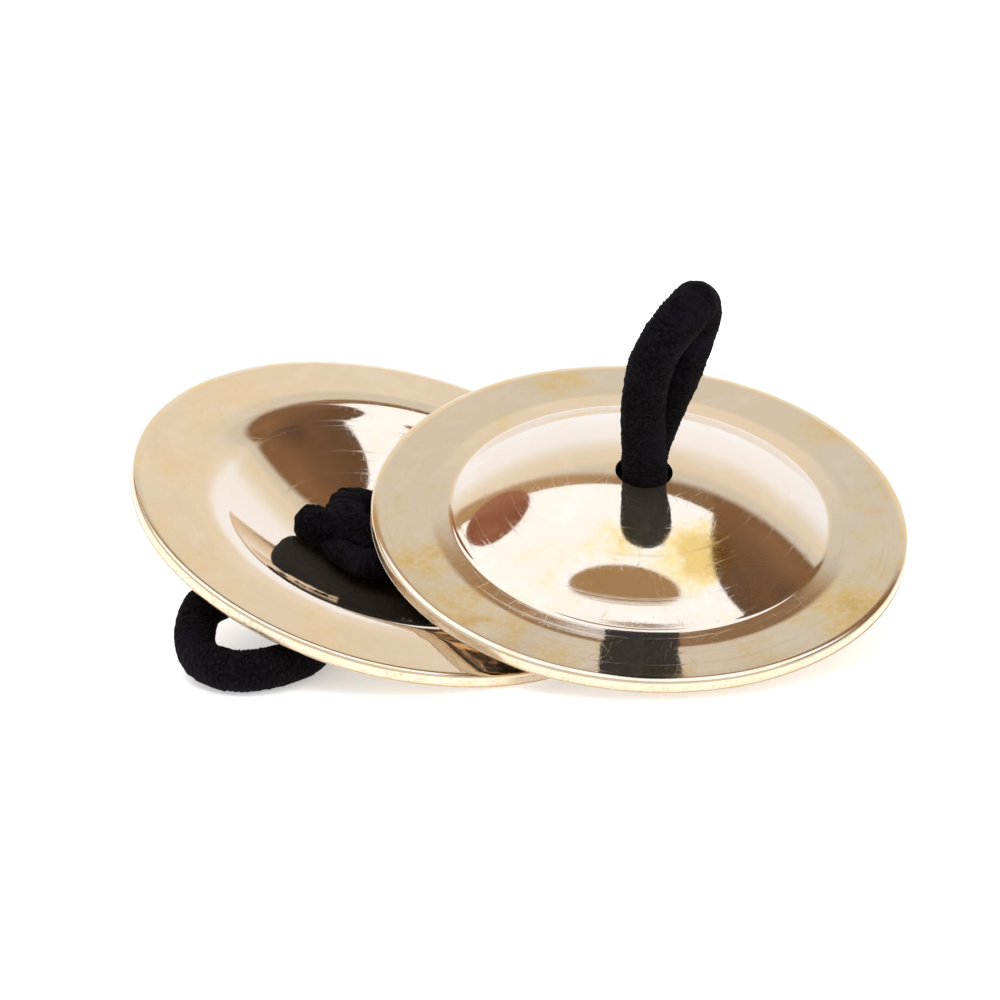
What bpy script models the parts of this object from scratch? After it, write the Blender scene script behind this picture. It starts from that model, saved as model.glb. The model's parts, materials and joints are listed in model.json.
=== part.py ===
"""A pair of finger cymbals lying together.

Each cymbal is a turned brass disc with a flat flange, a shallow dome and a centre hole. A covered
elastic cord is doubled through the hole: outside the dome it makes the finger loop, and inside the
bowl it ends in a knot with two cut tails. The left cymbal lies bowl up on its folded loop, and the
right one leans on it, dome up.

Units are metres, +Z up. The origin is on the floor, under the middle of the pair.
"""
import math

import bpy
from mathutils import Matrix, Vector

MM = 0.001
GAP = 0.3 * MM                      # clearance between neighbouring pieces

# The brass disc
CYMBAL_RADIUS = 30.0 * MM
SHEET = 1.6 * MM                    # thickness of the brass
DOME_BASE_RADIUS = 21.4 * MM        # where the dome would meet the flange's flat face
DOME_HEIGHT = 6.3 * MM              # from the flange's face to the edge of the hole
HOLE_RADIUS = 3.2 * MM
FLAT_RADIUS = 24.0 * MM             # inside this the flange starts to rise towards the dome
RISE_END_RADIUS = 21.8 * MM         # where that soft rise meets the crease
RISE_SLOPE = math.radians(5.5)      # its slope there
CREASE_RADIUS = 1.3 * MM            # the concave corner between the rise and the dome
DOME_ARC_STEPS = 8
CREASE_ARC_STEPS = 2
EDGE_CHAMFER = 0.4 * MM             # polished chamfer round the rim
EDGE_BREAK = 0.2 * MM               # small chamfer on the bowl side of the rim
TURNED_STEPS = 56

# The covered elastic cord
RIGHT_CORD_RADIUS = 2.5 * MM
LEFT_CORD_RADIUS = 2.25 * MM        # pressed a little flat under the cymbal
COVER_WALL = 0.7 * MM
SQUEEZED_RADIUS = 1.3 * MM          # one leg where it enters the hole
TAPER_LENGTH = 7.0 * MM             # over which a leg swells to its full radius
CORE_INSET = 1.0 * MM               # how far the core's ends sit inside the cover's
CORD_STEPS = 30                     # stretches along a loop
TAIL_STEPS = 6                      # stretches along a tail
ROUTE_SUBSTEPS = 20                 # fine points between two of a route's own points
NECK_RADIUS = 2.75 * MM             # both legs together, squeezed in the hole
NECK_CORE_RADIUS = 1.2 * MM
LOOP_PIVOT_HEIGHT = 2.4 * MM        # the bend outside the hole, along the cymbal's axis

# The knot in the bowl
KNOT_RADIUS = 7.4 * MM
KNOT_FLAT_RADIUS = 2.0 * MM         # the flat on the knot's top and bottom
KNOT_ARC_STEPS = 10
KNOT_SIDES = 28
RIGHT_KNOT_HEIGHT = 8.0 * MM
LEFT_KNOT_HEIGHT = 5.3 * MM
TAIL_RADIUS = 2.3 * MM
TAIL_CORE_RADIUS = 1.2 * MM
TAIL_CORE_DEPTH = 1.6 * MM
TAIL_SIDES = 14
ROD_SIDES = 20

# How the two cymbals lie: flange centre, lean of the axis from upright, and which way it leans
RIGHT_CENTRE = Vector((13.35, -1.15, 12.18)) * MM
RIGHT_LEAN = math.radians(19.2)
RIGHT_LEAN_TOWARDS = math.radians(-80.1)
LEFT_CENTRE = Vector((-13.82, 0.30, 12.25)) * MM
LEFT_LEAN = math.radians(21.3)
LEFT_LEAN_TOWARDS = math.radians(-50.9)

# The loops' routes in millimetres, from one side of the hole to the other
RIGHT_LOOP_ROUTE = (
    (13.8, -4.8, 18.4), (13.7, -5.4, 20.0), (13.5, -7.2, 23.8), (13.4, -9.1, 27.1), (14.0, -10.9, 32.0),
    (15.3, -11.7, 35.2), (17.1, -11.8, 37.7), (18.9, -10.8, 39.4), (19.4, -8.6, 37.7), (18.9, -7.5, 35.2),
    (17.3, -5.3, 29.7), (15.4, -3.7, 24.8), (14.3, -2.6, 21.5), (13.8, -2.1, 19.3),
)
LEFT_LOOP_ROUTE = (
    (-14.9, 2.1, 3.4), (-15.1, 2.2, 2.7), (-16.8, 0.7, 2.1), (-20.3, -2.8, 2.3), (-22.0, -7.8, 2.35),
    (-22.4, -14.0, 2.35), (-23.2, -19.8, 2.35), (-26.4, -23.9, 2.35), (-30.6, -25.5, 2.35),
    (-34.0, -23.3, 2.6), (-35.2, -20.9, 3.4), (-35.4, -18.0, 4.8), (-34.4, -15.1, 6.3), (-30.6, -8.8, 6.1),
    (-26.6, -2.4, 4.8), (-23.0, 1.4, 3.6), (-19.6, 3.2, 3.0), (-17.5, 4.4, 3.4), (-16.9, 4.0, 4.3),
)

# The cut tails in millimetres in each cymbal's own frame, from inside the knot to the cut end
RIGHT_TAIL_ROUTES = (
    ((0.0, 0.0, 0.4), (3.7, 2.3, -2.2), (6.2, 3.6, -6.0), (7.1, 3.4, -9.4), (7.5, 2.5, -13.1)),
    ((0.0, 0.0, 0.4), (-3.6, 4.6, 0.6), (-5.0, 8.4, 0.4), (-5.6, 11.0, -0.4)),
)
LEFT_TAIL_ROUTES = (
    ((0.0, 0.0, 1.6), (-4.6, 0.6, 1.5), (-8.2, 1.4, 1.0), (-10.8, 2.0, 0.5)),
    ((0.0, 0.0, 1.6), (2.6, -4.4, 1.5), (4.4, -7.6, 0.9), (5.4, -9.4, 0.3)),
)

BRASS = (0.80, 0.66, 0.45)
BLACK = (0.012, 0.011, 0.013)
RUBBER = (0.55, 0.50, 0.40)


def clear_scene():
    for obj in list(bpy.data.objects):
        bpy.data.objects.remove(obj, do_unlink=True)


def material(name, colour, roughness, metallic):
    mat = bpy.data.materials.new(name)
    mat.use_nodes = True
    shader = mat.node_tree.nodes["Principled BSDF"]
    shader.inputs["Base Color"].default_value = (*colour, 1.0)
    shader.inputs["Roughness"].default_value = roughness
    shader.inputs["Metallic"].default_value = metallic
    mat.diffuse_color = (*colour, 1.0)
    return mat


def brass(name):
    return material(name + "_brass", BRASS, 0.22, 1.0)


def textile(name):
    return material(name + "_textile", BLACK, 0.9, 0.0)


def rubber(name):
    return material(name + "_rubber", RUBBER, 0.7, 0.0)


def link(obj, mat, parent=None):
    """Put an object in the scene with its material, keeping it where its own frame says."""
    bpy.context.collection.objects.link(obj)
    obj.data.materials.append(mat)
    obj.parent = parent
    return obj


def cymbal_axis(name, centre, lean, lean_towards, dome_up):
    """An empty on a cymbal's axis: its +Z leaves the dome, its origin is on the flange's face."""
    empty = bpy.data.objects.new(name, None)
    bpy.context.collection.objects.link(empty)
    tilt = Matrix.Rotation(lean_towards, 4, "Z") @ Matrix.Rotation(lean, 4, "Y")
    tilt = tilt @ Matrix.Rotation(-lean_towards, 4, "Z")
    if not dome_up:
        # The centre is given on the bowl's side, one sheet away from the dome's side
        centre = centre - tilt.to_3x3() @ Vector((0.0, 0.0, SHEET))
        tilt = tilt @ Matrix.Rotation(math.pi, 4, "X")
    empty.matrix_world = Matrix.Translation(centre) @ tilt
    return empty


def loop_pivot(side, axis_empty):
    """An empty at the bend outside the hole, about which the finger loop tilts."""
    empty = bpy.data.objects.new(side + "_loop_pivot", None)
    bpy.context.collection.objects.link(empty)
    empty.parent = axis_empty
    empty.location = (0.0, 0.0, DOME_HEIGHT + LOOP_PIVOT_HEIGHT)
    return empty


def dome_sphere():
    """Radius of the dome's sphere, and the depth of its centre below the flange's face."""
    base, hole, height = DOME_BASE_RADIUS, HOLE_RADIUS, DOME_HEIGHT
    depth = (base ** 2 - hole ** 2 - height ** 2) / (2.0 * height)
    return math.hypot(base, depth), depth


def arc(centre_r, centre_z, radius, start, end, steps):
    """Points (r, z) with their normals round an arc, the angles measured from straight up."""
    points = []
    for i in range(steps + 1):
        angle = start + (end - start) * i / steps
        normal = (math.sin(angle), math.cos(angle))
        points.append(((centre_r + radius * normal[0], centre_z + radius * normal[1]), normal))
    return points


def dome_side_outline():
    """Points (r, z) on the dome's side with their outward normals, from the hole to the flange."""
    sphere, depth = dome_sphere()
    # The soft rise is a parabola, level at the flat and at RISE_SLOPE where it meets the crease
    rise_width = FLAT_RADIUS - RISE_END_RADIUS
    rise_height = rise_width * math.tan(RISE_SLOPE) / 2.0
    # The crease's centre lies one crease radius above the rise's last tangent, outside the sphere
    up = Vector((math.sin(RISE_SLOPE), math.cos(RISE_SLOPE)))
    inward = Vector((-math.cos(RISE_SLOPE), math.sin(RISE_SLOPE)))
    above = Vector((RISE_END_RADIUS, rise_height + depth)) + up * CREASE_RADIUS
    along = above.dot(inward)
    reach = (sphere + CREASE_RADIUS) ** 2
    slide = -along - math.sqrt(along ** 2 - above.length_squared + reach)
    if slide < 0.0:
        slide = -along + math.sqrt(along ** 2 - above.length_squared + reach)
    centre = above + inward * slide
    steep = math.atan2(centre.x, centre.y)
    outline = arc(0.0, -depth, sphere, math.asin(HOLE_RADIUS / sphere), steep, DOME_ARC_STEPS)
    crease = arc(0.0, 0.0, -CREASE_RADIUS, steep, RISE_SLOPE, CREASE_ARC_STEPS)
    for (r, z), normal in crease[1:]:
        outline.append(((centre.x + r, centre.y - depth + z), normal))
    middle = (FLAT_RADIUS + RISE_END_RADIUS) / 2.0
    half_slope = math.atan(math.tan(RISE_SLOPE) / 2.0)
    outline.append(((middle, rise_height / 4.0), (math.sin(half_slope), math.cos(half_slope))))
    outline.append(((FLAT_RADIUS, 0.0), (0.0, 1.0)))
    return outline


def cymbal_profile():
    """The disc's closed section: out along the dome's side, down the rim, back inside the bowl."""
    outline = dome_side_outline()
    section = [point for point, normal in outline]
    section += [(CYMBAL_RADIUS - EDGE_CHAMFER, 0.0), (CYMBAL_RADIUS, -EDGE_CHAMFER)]
    section += [(CYMBAL_RADIUS, EDGE_BREAK - SHEET), (CYMBAL_RADIUS - EDGE_BREAK, -SHEET)]
    for (r, z), (nr, nz) in reversed(outline[1:]):
        section.append((r - SHEET * nr, z - SHEET * nz))
    (r, z), (nr, nz) = outline[0]
    section.append((HOLE_RADIUS, z - SHEET * nz))
    return section


def turned(name, section, mat, parent):
    """Turn a closed section of (r, z) points round the parent's Z axis."""
    mesh = bpy.data.meshes.new(name)
    count = len(section)
    edges = [(i, (i + 1) % count) for i in range(count)]
    mesh.from_pydata([(r, 0.0, z) for r, z in section], edges, [])
    obj = link(bpy.data.objects.new(name, mesh), mat, parent)
    screw = obj.modifiers.new("turn", "SCREW")
    screw.steps = TURNED_STEPS
    screw.render_steps = TURNED_STEPS
    screw.use_merge_vertices = True
    screw.merge_threshold = 0.00001
    screw.use_smooth_shade = True
    return obj


def smooth_route(route, steps):
    """Points evenly spread along a Catmull-Rom curve through a route given in millimetres."""
    knots = [Vector(point) * MM for point in route]
    knots = [2.0 * knots[0] - knots[1]] + knots + [2.0 * knots[-1] - knots[-2]]
    fine = []
    for i in range(1, len(knots) - 2):
        a, b, c, d = knots[i - 1:i + 3]
        for j in range(ROUTE_SUBSTEPS):
            t = j / ROUTE_SUBSTEPS
            fine.append(0.5 * (2.0 * b + (c - a) * t + (2.0 * a - 5.0 * b + 4.0 * c - d) * t ** 2
                               + (3.0 * b - a - 3.0 * c + d) * t ** 3))
    fine.append(knots[-2])
    lengths = [0.0]
    for before, after in zip(fine, fine[1:]):
        lengths.append(lengths[-1] + (after - before).length)
    points = []
    k = 0
    for i in range(steps + 1):
        want = lengths[-1] * i / steps
        while k < len(fine) - 2 and lengths[k + 1] < want:
            k += 1
        share = (want - lengths[k]) / (lengths[k + 1] - lengths[k])
        points.append(fine[k].lerp(fine[k + 1], min(share, 1.0)))
    return points, lengths[-1]


def leg_radius(distance, full, squeezed):
    """A leg's radius at this distance from the hole: squeezed there, full after the taper."""
    share = min(distance / TAPER_LENGTH, 1.0)
    share = share * share * (3.0 - 2.0 * share)
    return squeezed + (full - squeezed) * share


def cord(name, points, radii, caps, mat, parent):
    """A cord as a bevelled curve. Its points are world positions; the parent only carries it."""
    curve = bpy.data.curves.new(name, "CURVE")
    curve.dimensions = "3D"
    curve.bevel_depth = max(radii)
    curve.bevel_resolution = 2
    curve.use_fill_caps = caps
    spline = curve.splines.new("POLY")
    spline.points.add(len(points) - 1)
    to_parent = parent.matrix_world.inverted()
    for slot, point, radius in zip(spline.points, points, radii):
        slot.co = (*(to_parent @ point), 1.0)
        slot.radius = radius / curve.bevel_depth
    return link(bpy.data.objects.new(name, curve), mat, parent)


def finger_loop(side, route, cord_radius, parent):
    """The loop's textile cover, a tube open at both ends, and the rubber core inside it."""
    points, length = smooth_route(route, CORD_STEPS)
    distances = [length * min(i, CORD_STEPS - i) / CORD_STEPS for i in range(CORD_STEPS + 1)]
    radii = [leg_radius(d, cord_radius, SQUEEZED_RADIUS) for d in distances]
    cover = cord(side + "_loop_cover", points, radii, False, textile(side + "_loop_cover"), parent)
    wall = cover.modifiers.new("wall", "SOLIDIFY")
    wall.thickness = COVER_WALL
    wall.offset = -1.0
    inner = [(point, radius) for point, radius, d in zip(points, radii, distances) if d > CORE_INSET]
    core_points = [point for point, radius in inner]
    core_radii = [radius - COVER_WALL - GAP for point, radius in inner]
    cord(side + "_loop_core", core_points, core_radii, True, rubber(side + "_loop_core"), parent)


def neck(side, parent):
    """Both legs squeezed together in the hole: a ring of cover round a stub of core."""
    top = DOME_HEIGHT
    bottom = DOME_HEIGHT - SHEET
    cover = [(NECK_CORE_RADIUS + GAP, top), (NECK_RADIUS, top), (NECK_RADIUS, bottom)]
    cover.append((NECK_CORE_RADIUS + GAP, bottom))
    turned(side + "_neck_cover", cover, textile(side + "_neck_cover"), parent)
    height = top - bottom
    rod(side + "_neck_core", NECK_CORE_RADIUS, (0.0, 0.0, bottom), (0.0, 0.0, 1.0), height,
        rubber(side + "_neck_core"), parent)


def rod(name, radius, start, direction, length, mat, parent, sides=ROD_SIDES):
    """A plain round rod from a point along a direction, both in the parent's frame."""
    mesh = bpy.data.meshes.new(name)
    axis = Vector(direction).normalized()
    turn = Vector((0.0, 0.0, 1.0)).rotation_difference(axis)
    verts = []
    for level in (0.0, length):
        for i in range(sides):
            angle = 2.0 * math.pi * i / sides
            round_point = Vector((radius * math.cos(angle), radius * math.sin(angle), level))
            verts.append(Vector(start) + turn @ round_point)
    faces = [tuple(reversed(range(sides))), tuple(range(sides, 2 * sides))]
    for i in range(sides):
        j = (i + 1) % sides
        faces.append((i, j, sides + j, sides + i))
    mesh.from_pydata(verts, [], faces)
    return link(bpy.data.objects.new(name, mesh), mat, parent)


def tail_solid(name, route, mat, parent):
    """A cut tail of cord with a shallow recess in its end for the core."""
    points, length = smooth_route(route, TAIL_STEPS)
    end_direction = (points[-1] - points[-2]).normalized()
    rings = []
    for i, point in enumerate(points):
        before = points[max(i - 1, 0)]
        after = points[min(i + 1, len(points) - 1)]
        rings.append((point, (after - before).normalized(), TAIL_RADIUS))
    recess = TAIL_CORE_RADIUS + GAP
    rings.append((points[-1], end_direction, recess))
    rings.append((points[-1] - end_direction * (TAIL_CORE_DEPTH + GAP), end_direction, recess))
    sides = TAIL_SIDES
    verts, faces = [], []
    turn = Vector((0.0, 0.0, 1.0)).rotation_difference(rings[0][1])
    across = turn @ Vector((1.0, 0.0, 0.0))
    for point, direction, radius in rings:
        across = (across - direction * across.dot(direction)).normalized()
        up = direction.cross(across)
        for i in range(sides):
            angle = 2.0 * math.pi * i / sides
            verts.append(point + (across * math.cos(angle) + up * math.sin(angle)) * radius)
    for k in range(len(rings) - 1):
        for i in range(sides):
            j = (i + 1) % sides
            faces.append((k * sides + i, k * sides + j, (k + 1) * sides + j, (k + 1) * sides + i))
    faces.append(tuple(reversed(range(sides))))
    faces.append(tuple(range((len(rings) - 1) * sides, len(rings) * sides)))
    mesh = bpy.data.meshes.new(name)
    mesh.from_pydata(verts, [], faces)
    tail = link(bpy.data.objects.new(name, mesh), mat, parent)
    tail.hide_render = True
    tail.display_type = "WIRE"
    return tail, points[-1], end_direction


def knot(side, height, tail_routes, parent):
    """The knot under the hole: a flattened bun with the cord's two cut tails joined to it."""
    top = DOME_HEIGHT - SHEET - GAP
    mat = textile(side + "_knot_cover")
    section = []
    half = height / 2.0
    for i in range(KNOT_ARC_STEPS + 1):
        angle = math.pi / 2.0 - math.pi * i / KNOT_ARC_STEPS
        r = KNOT_FLAT_RADIUS + (KNOT_RADIUS - KNOT_FLAT_RADIUS) * math.cos(angle)
        section.append((r, top - half + half * math.sin(angle)))
    mesh_section = [(0.0, top)] + section + [(0.0, top - height)]
    bun = turned_solid(side + "_knot_cover", mesh_section, mat, parent)
    for i, route in enumerate(tail_routes):
        tail, end, direction = tail_solid(f"{side}_tail_{i + 1}_shape", route, mat, parent)
        join = bun.modifiers.new("tail", "BOOLEAN")
        join.operation = "UNION"
        join.object = tail
        name = f"{side}_tail_core_{i + 1}"
        rod(name, TAIL_CORE_RADIUS, end - direction * TAIL_CORE_DEPTH, direction,
            TAIL_CORE_DEPTH, rubber(name), parent, TAIL_SIDES)


def turned_solid(name, section, mat, parent, sides=KNOT_SIDES):
    """Turn an open section whose two ends lie on the axis into a closed mesh."""
    mesh = bpy.data.meshes.new(name)
    verts = [(0.0, 0.0, section[0][1])]
    rings = section[1:-1]
    for r, z in rings:
        for i in range(sides):
            angle = 2.0 * math.pi * i / sides
            verts.append((r * math.cos(angle), r * math.sin(angle), z))
    last = len(verts)
    verts.append((0.0, 0.0, section[-1][1]))
    faces = []
    for i in range(sides):
        j = (i + 1) % sides
        faces.append((0, 1 + i, 1 + j))
        for k in range(len(rings) - 1):
            a, b = 1 + k * sides, 1 + (k + 1) * sides
            faces.append((a + i, b + i, b + j, a + j))
        base = 1 + (len(rings) - 1) * sides
        faces.append((last, base + j, base + i))
    mesh.from_pydata(verts, [], faces)
    return link(bpy.data.objects.new(name, mesh), mat, parent)


def finger_cymbal(side, axis_empty, loop_route, cord_radius, knot_height, tail_routes):
    turned(side + "_cymbal", cymbal_profile(), brass(side + "_cymbal"), axis_empty)
    neck(side, axis_empty)
    knot(side, knot_height, tail_routes, axis_empty)
    pivot = loop_pivot(side, axis_empty)
    bpy.context.view_layer.update()
    finger_loop(side, loop_route, cord_radius, pivot)


def main():
    clear_scene()
    right = cymbal_axis("right_axis", RIGHT_CENTRE, RIGHT_LEAN, RIGHT_LEAN_TOWARDS, True)
    left = cymbal_axis("left_axis", LEFT_CENTRE, LEFT_LEAN, LEFT_LEAN_TOWARDS, False)
    bpy.context.view_layer.update()
    finger_cymbal("right", right, RIGHT_LOOP_ROUTE, RIGHT_CORD_RADIUS, RIGHT_KNOT_HEIGHT,
                  RIGHT_TAIL_ROUTES)
    finger_cymbal("left", left, LEFT_LOOP_ROUTE, LEFT_CORD_RADIUS, LEFT_KNOT_HEIGHT,
                  LEFT_TAIL_ROUTES)


main()
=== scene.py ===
"""The looks of a pair of finger cymbals: polished brass discs on loops of covered elastic cord.

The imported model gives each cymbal's place: the neck's twist joint lies on the cymbal's axis, with its
point at the mouth of the hole. Everything here is built around those two axes, in metres.
"""

import json
import math

import bpy
import numpy as np
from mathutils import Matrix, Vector, noise


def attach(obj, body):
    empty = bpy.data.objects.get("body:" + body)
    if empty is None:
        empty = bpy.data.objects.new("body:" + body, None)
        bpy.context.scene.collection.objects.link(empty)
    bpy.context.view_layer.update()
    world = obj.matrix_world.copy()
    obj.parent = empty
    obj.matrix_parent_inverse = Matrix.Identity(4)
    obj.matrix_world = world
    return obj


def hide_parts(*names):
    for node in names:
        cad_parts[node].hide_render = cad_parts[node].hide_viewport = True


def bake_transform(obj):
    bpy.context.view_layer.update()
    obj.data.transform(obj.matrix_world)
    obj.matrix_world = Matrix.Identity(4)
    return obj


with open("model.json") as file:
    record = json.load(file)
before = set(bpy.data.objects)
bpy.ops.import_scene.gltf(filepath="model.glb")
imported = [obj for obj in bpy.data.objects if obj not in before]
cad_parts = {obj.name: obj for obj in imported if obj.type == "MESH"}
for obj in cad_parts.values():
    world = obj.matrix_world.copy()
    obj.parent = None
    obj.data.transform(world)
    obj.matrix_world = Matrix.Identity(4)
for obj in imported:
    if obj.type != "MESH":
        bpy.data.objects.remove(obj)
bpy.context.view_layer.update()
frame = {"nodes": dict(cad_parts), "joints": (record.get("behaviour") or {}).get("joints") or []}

MM = 0.001

# The brass disc
RIM_RADIUS = 30.0 * MM
SHEET = 1.6 * MM
DOME_BASE_RADIUS = 21.4 * MM
DOME_HEIGHT = 6.3 * MM
HOLE_RADIUS = 3.2 * MM
HOLE_FLARE = 0.18 * MM              # how much wider the hole opens at the bowl's face
HOLE_EASE = 0.12 * MM               # how deep its worn corner goes on the dome's side
BOWL_HOLE_EASE = 0.14 * MM          # and on the bowl's side
FLAT_RADIUS = 24.0 * MM             # inside this the flange rises softly towards the dome
RISE_RAMP = 0.7 * MM                # over which the rise takes up its slope
RISE_END_RADIUS = 21.8 * MM
RISE_SLOPE = math.radians(3.8)
CREASE_RADIUS = 1.3 * MM
BOWL_CREASE_RADIUS = 7.0 * MM       # on the bowl's side the turn into the flange is much rounder
LIP = 0.24 * MM                     # polished lip rolled over each edge of the rim
LIP_START = 20.0                    # it is the stretch of a circle from this many degrees
LIP_TURN = 50.0                     # on through this many
LIP_SPAN = 0.6                      # and that stretch spans this share of the circle's radius
LIP_STEPS = 4
GROOVE = 0.06 * MM                  # fine step between the lip and the cut edge
GROOVE_DROP = 0.02 * MM
EDGE_BULGE = 0.05 * MM              # the cut edge is a little crowned
EDGE_STEPS = 6
DOME_STEPS = 48
CREASE_STEPS = 14
RISE_STEPS = 14
FLAT_STEPS = 8
LEAST_GAP = 0.1 * MM                # between the crease's end and the next point of the rise
TURNS = 320                         # segments round a disc
SHARP_EDGE = math.radians(32.0)
RIM_WANDER = 0.28 * MM              # how far noise lifts the flange, per share of the radius
WANDER_START = 0.78                 # beyond this share of the radius
WANDER_RING = 3.1                   # the noise is read round a ring of this radius
WANDER_HEIGHT = {"right": 0.0, "left": 7.3}     # at a height of its own for each disc
FACE_SLOT, LIP_SLOT, EDGE_SLOT = 0, 1, 2        # the disc's materials

# The covered cord
RIGHT_CORD_RADIUS = 2.5 * MM
LEFT_CORD_RADIUS = 2.25 * MM
LEG_HALF_WIDTH = 2.5 * MM           # a leg squeezed oval in the hole: across, and towards its twin
LEG_HALF_DEPTH = 1.5 * MM
WIDTH_TAPER_LENGTH = 2.0 * MM       # over which its width grows to full round outside the hole
DEPTH_TAPER_LENGTH = 3.2 * MM       # and its depth
# The legs inside the hole, in millimetres: how far below the mouth, and how far off the axis
LEG_PLACES = ((2.6, 1.40), (1.4, 1.56), (0.2, 1.60))
RIB_PITCH = 0.55 * MM
RIB_DEPTH = 0.17 * MM
RIB_HEIGHTS = (0.55, 1.20)          # least and greatest share of that depth
RIB_SLANTS = (0.10, 0.30)           # how far a rib leans round the cord, in pitches
RIB_WANDER = 0.16                   # unevenness of the pitch, in pitches
WANDER_PITCH = 1.7 * MM             # along the cord from one change of it to the next
WANDER_MARGIN = 3.0 * MM
LUMP_HEIGHT = 0.05 * MM
LUMP_COUNT = 12
RINGS_PER_RIB = 6
SIDES = 48
FUZZ = 0.034 * MM
FLOOR_GAP = 0.02 * MM
CURVE_STEPS = 40                    # straight bits from one point of a route to the next

# The loops' routes, the same points as the plain solids follow
RIGHT_LOOP_ROUTE = (
    (13.8, -4.8, 18.4), (13.7, -5.4, 20.0), (13.5, -7.2, 23.8), (13.4, -9.1, 27.1), (14.0, -10.9, 32.0),
    (15.3, -11.7, 35.2), (17.1, -11.8, 37.7), (18.9, -10.8, 39.4), (19.4, -8.6, 37.7), (18.9, -7.5, 35.2),
    (17.3, -5.3, 29.7), (15.4, -3.7, 24.8), (14.3, -2.6, 21.5), (13.8, -2.1, 19.3),
)
LEFT_LOOP_ROUTE = (
    (-14.9, 2.1, 3.4), (-15.1, 2.2, 2.7), (-16.8, 0.7, 2.1), (-20.3, -2.8, 2.3), (-22.0, -7.8, 2.35),
    (-22.4, -14.0, 2.35), (-23.2, -19.8, 2.35), (-26.4, -23.9, 2.35), (-30.6, -25.5, 2.35),
    (-34.0, -23.3, 2.6), (-35.2, -20.9, 3.4), (-35.4, -18.0, 4.8), (-34.4, -15.1, 6.3), (-30.6, -8.8, 6.1),
    (-26.6, -2.4, 4.8), (-23.0, 1.4, 3.6), (-19.6, 3.2, 3.0), (-17.5, 4.4, 3.4), (-16.9, 4.0, 4.3),
)

# The knots: the trefoil's ring, its weave and the strand's radius, in millimetres
RIGHT_KNOT = (3.9, 1.9, 2.25)
LEFT_KNOT = (4.6, 2.1, 2.35)
RIGHT_KNOT_HEIGHT = 8.0 * MM
LEFT_KNOT_HEIGHT = 4.6 * MM
RIGHT_KNOT_MIDDLE = 0.4 * MM        # above the flange's plane, towards the dome's side
LEFT_KNOT_MIDDLE = 1.8 * MM
TREFOIL_POINTS = 700
KNOT_STEP = 14                      # every so many of those points guide the strand
TUFT_SCALE = 900.0                  # the pulled yarn's fine and coarse noise, per metre
TUFT_SIZE = 0.22 * MM
FELT_SCALE = 260.0
FELT_SIZE = 0.35 * MM
# The cut tails in each cymbal's own frame, from inside the knot to the cut end
RIGHT_TAIL_ROUTES = (
    ((0.0, 0.0, 0.4), (3.7, 2.3, -2.2), (6.2, 3.6, -6.0), (7.1, 3.4, -9.4), (7.5, 2.5, -13.1)),
    ((0.0, 0.0, 0.4), (-3.6, 4.6, 0.6), (-5.0, 8.4, 0.4), (-5.6, 11.0, -0.4)),
)
LEFT_TAIL_ROUTES = (
    ((0.0, 0.0, 2.0), (-4.6, 0.6, 1.95), (-8.2, 1.4, 1.4), (-10.8, 2.0, 0.85)),
    ((0.0, 0.0, 2.0), (2.6, -4.4, 1.95), (4.4, -7.6, 1.35), (5.4, -9.4, 0.75)),
)
TAIL_RADIUS = 2.3 * MM
TAIL_CORE_HOLE = 1.3 * MM
TAIL_CORE_DEPTH = 1.0 * MM          # of the recess that the core stands in
TAIL_RIM = 0.8                      # the cut cover's rounded rim, as a share of the tail's radius
TAIL_RIM_RISE = 0.05 * MM
FRAY_LENGTH = 1.7 * MM
FRAY_LEAST = 0.04                   # least square of the closing tail's share of its radius

# The camera
TARGET = Vector((-2.25, -0.70, 14.03)) * MM
CAMERA_DISTANCE = 0.6
CAMERA_HEIGHT_ANGLE = math.radians(17.0)
LENS = 193.75

# The floor and the lights: place, size of the box and power in watts
FLOOR_HALF = 3.0
FLOOR_GLOW = 0.42
KEY_LIGHT = ((-0.25, -0.25, 0.75), (0.5, 0.4), 2.2)
FILL_LIGHT = ((0.6, -0.5, 0.35), (0.4, 0.4), 0.7)


# ---------------------------------------------------------------- camera, floor and light

def add_camera():
    camera = bpy.data.objects.new("camera", bpy.data.cameras.new("camera"))
    bpy.context.scene.collection.objects.link(camera)
    camera.data.sensor_width = 36.0
    camera.data.lens = LENS
    camera.data.clip_start = 0.01
    away = Vector((0.0, -math.cos(CAMERA_HEIGHT_ANGLE), math.sin(CAMERA_HEIGHT_ANGLE)))
    camera.location = TARGET + away * CAMERA_DISTANCE
    camera.rotation_euler = (math.pi / 2.0 - CAMERA_HEIGHT_ANGLE, 0.0, 0.0)
    bpy.context.scene.camera = camera


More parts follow.
